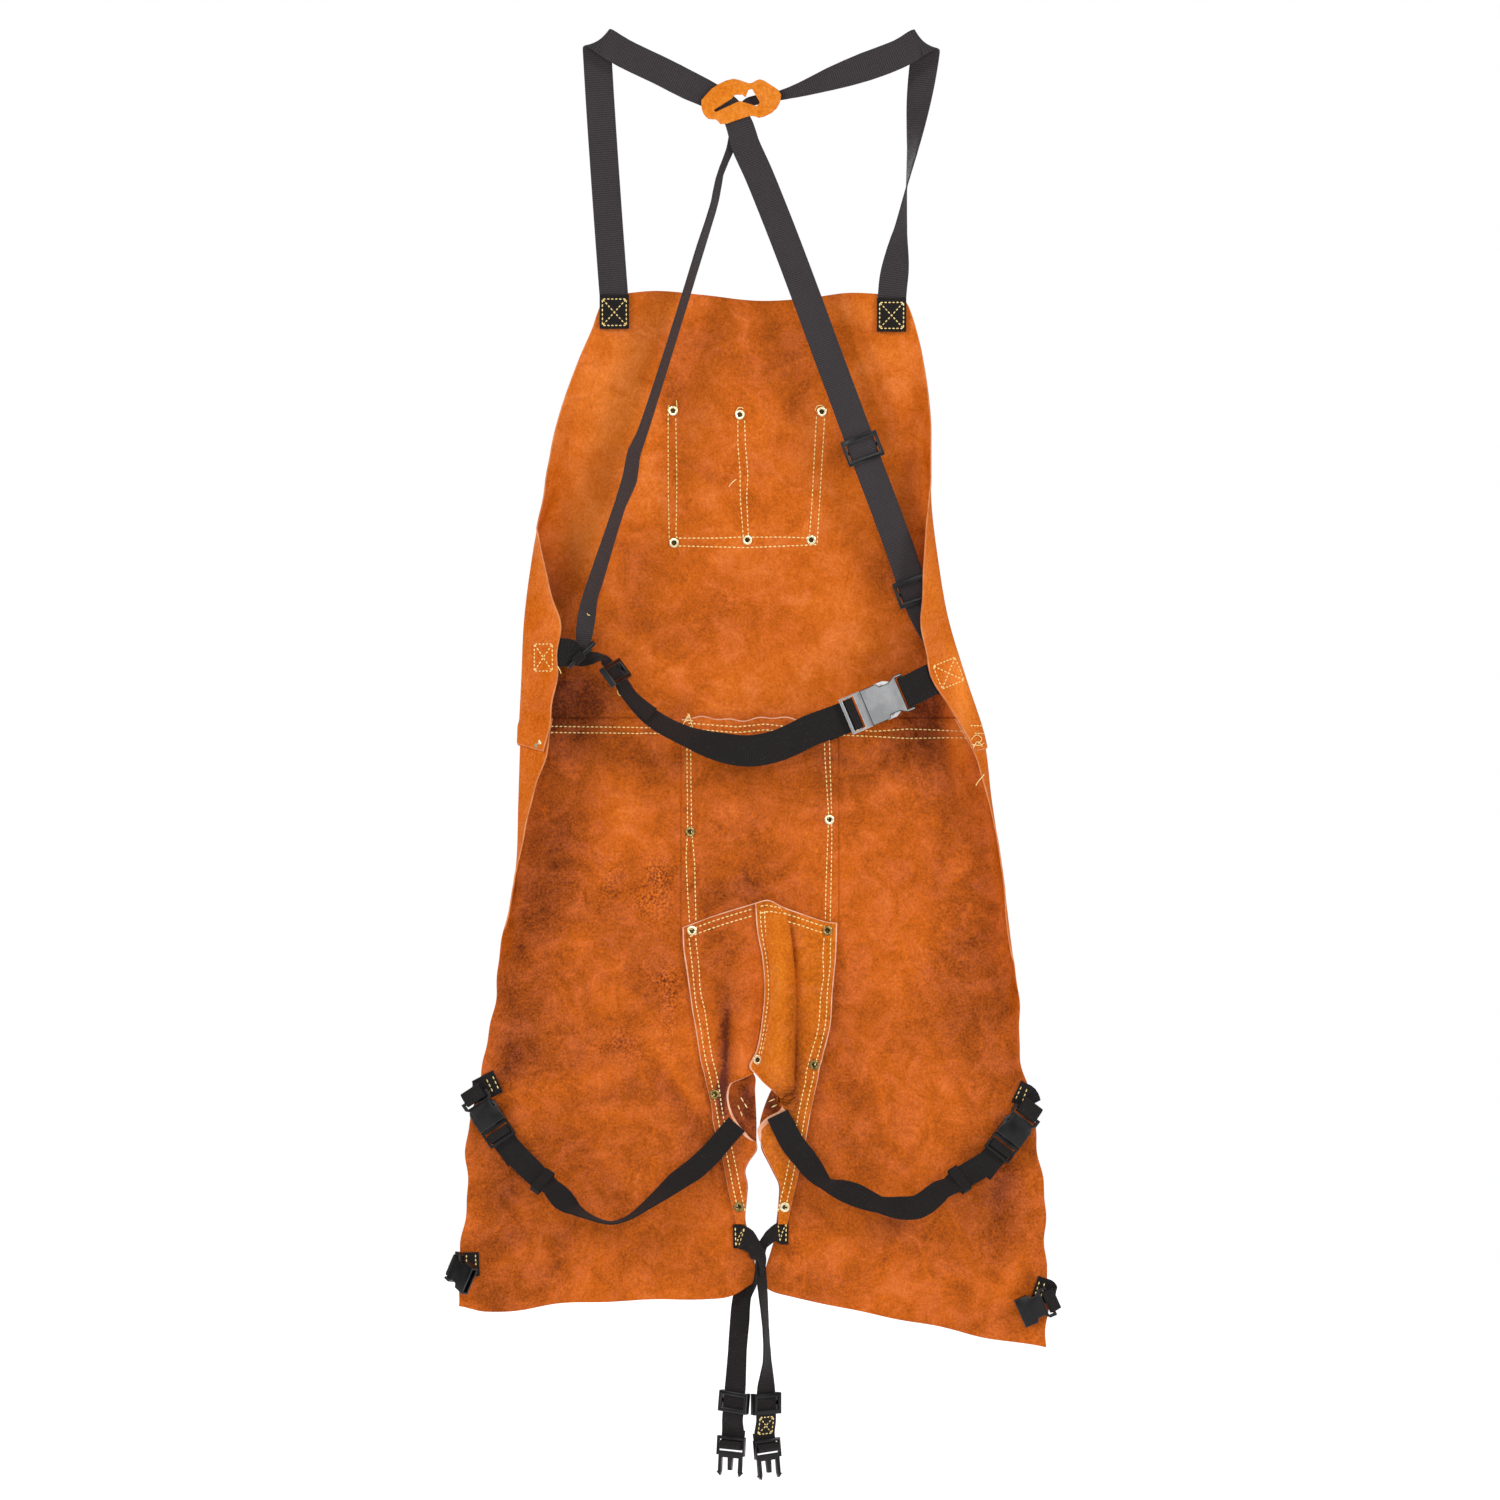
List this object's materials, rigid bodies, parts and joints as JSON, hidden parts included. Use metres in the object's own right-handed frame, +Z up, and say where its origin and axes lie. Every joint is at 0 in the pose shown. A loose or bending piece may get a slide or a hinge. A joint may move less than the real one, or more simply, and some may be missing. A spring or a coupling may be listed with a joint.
{
  "type": "split-leg apron",
  "caption": "Leather split-leg work apron hung by crossed shoulder straps, with a chest pocket, riveted crotch gussets, a waist belt and buckled thigh and ankle straps.",
  "frame": {"origin": "level with the tops of the two strap folds that the apron hangs by, between them", "axes": "+Z up, the wearer's side faces -Y, +X to the right of someone who looks at the wearer's side"},
  "size_m": [0.6439, 0.0761, 1.5134],
  "materials": {
    "leather": "matte split cowhide",
    "suede": "suede side of split cowhide",
    "webbing": "woven webbing",
    "plastic": "satin moulded plastic",
    "rivet": "pale polished"
  },
  "bodies": {
    "root": {"bib_panel": "leather", "left_leg_panel": "leather", "right_leg_panel": "leather", "centre_panel": "leather", "left_gusset": "leather", "right_gusset": "suede", "chest_pocket": "leather", "strap_keeper": "suede", "pocket_rivet_1": "rivet", "pocket_rivet_2": "rivet", "pocket_rivet_3": "rivet", "pocket_rivet_4": "rivet", "pocket_rivet_5": "rivet", "pocket_rivet_6": "rivet", "left_seam_rivet_1": "rivet", "left_seam_rivet_2": "rivet", "left_seam_rivet_3": "rivet", "left_seam_rivet_4": "rivet", "right_seam_rivet_1": "rivet", "right_seam_rivet_2": "rivet", "right_seam_rivet_3": "rivet", "right_seam_rivet_4": "rivet", "crotch_rivet": "rivet", "left_hip_rivet": "rivet", "left_shoulder_strap": "webbing", "right_shoulder_strap": "webbing", "left_waist_tab": "webbing", "right_waist_tab": "webbing", "waist_belt": "webbing", "left_thigh_tab": "webbing", "right_thigh_tab": "webbing", "left_ankle_tab": "webbing", "right_ankle_tab": "webbing", "left_thigh_strap": "webbing", "right_thigh_strap": "webbing", "left_ankle_strap": "webbing", "right_ankle_strap": "webbing", "waist_ring": "plastic", "cross_strap_slider_upper": "plastic", "cross_strap_slider_lower": "plastic", "belt_slider": "plastic", "left_ankle_slider": "plastic", "right_ankle_slider": "plastic", "waist_buckle_socket": "plastic", "waist_buckle_plug": "plastic", "left_thigh_buckle_socket": "plastic", "left_thigh_buckle_plug": "plastic", "right_thigh_buckle_socket": "plastic", "right_thigh_buckle_plug": "plastic", "left_ankle_buckle_socket": "plastic", "right_ankle_buckle_socket": "plastic", "left_ankle_buckle_plug": "plastic", "right_ankle_buckle_plug": "plastic"}
  },
  "joints": []
}
